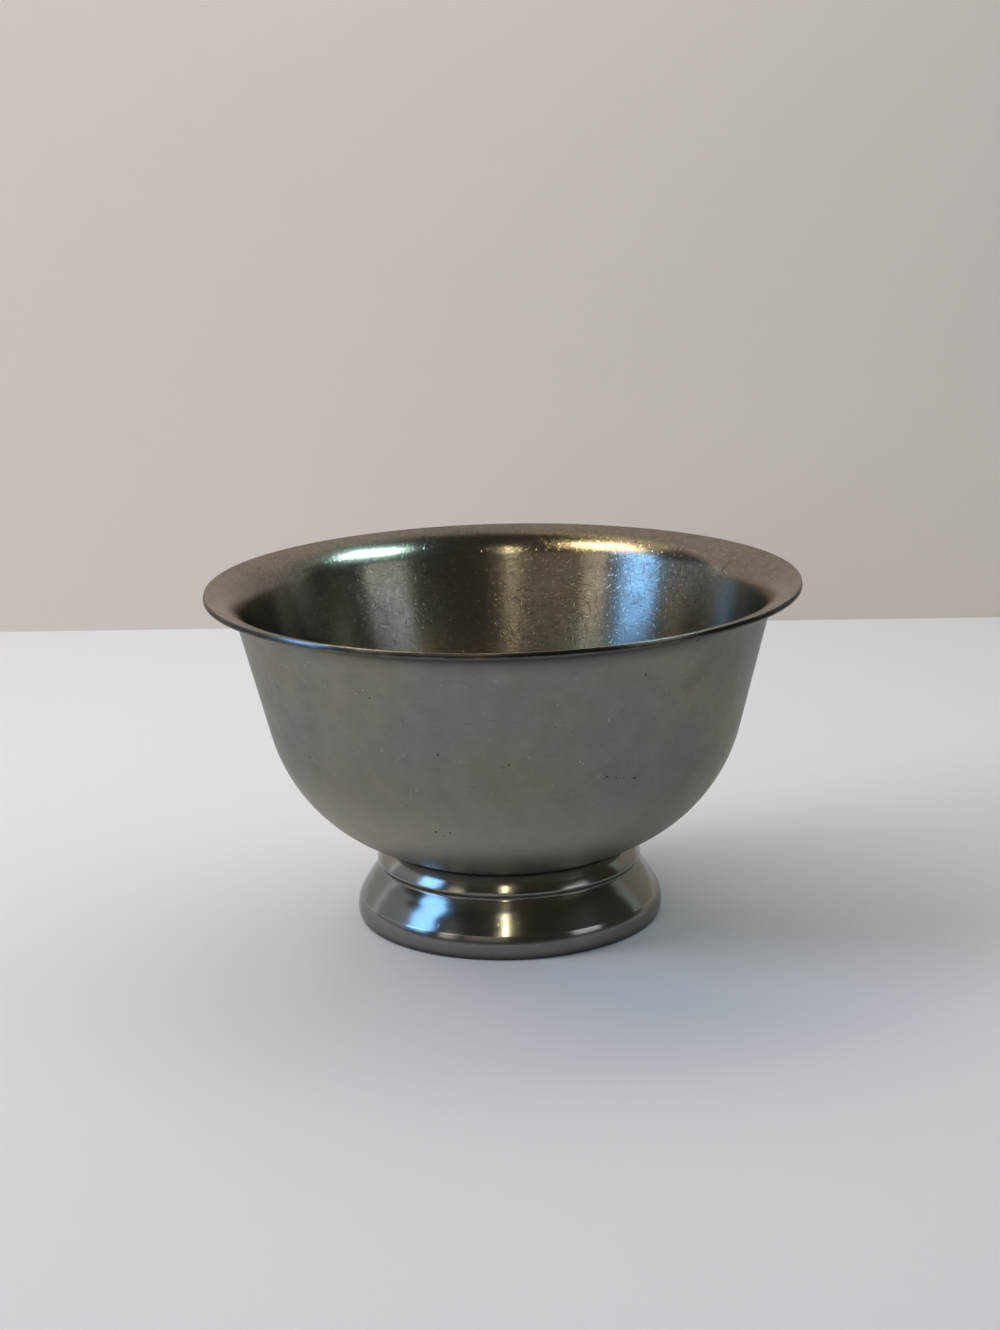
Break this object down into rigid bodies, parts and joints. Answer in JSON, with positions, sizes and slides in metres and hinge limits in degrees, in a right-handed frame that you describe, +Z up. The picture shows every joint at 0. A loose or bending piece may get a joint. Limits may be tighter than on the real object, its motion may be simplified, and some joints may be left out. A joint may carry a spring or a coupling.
{
  "type": "footed bowl",
  "caption": "Round metal bowl with an outward-flared lip, standing on a hollow turned foot with a scored ridge and a base band.",
  "frame": {"origin": "on the table, under the middle of the foot", "axes": "+Z up along the bowl's axis of revolution; the bowl is round, so X and Y have no front or side"},
  "size_m": [0.127, 0.127, 0.0735],
  "materials": {
    "bowl_pewter": "satin, turned on the lathe, with a grey age patina",
    "foot_pewter": "polished, with a grey age patina",
    "solder": "dull, darkened in the joint"
  },
  "bodies": {
    "root": {"bowl": "bowl_pewter", "foot": "foot_pewter", "solder_seam": "solder"}
  },
  "joints": []
}
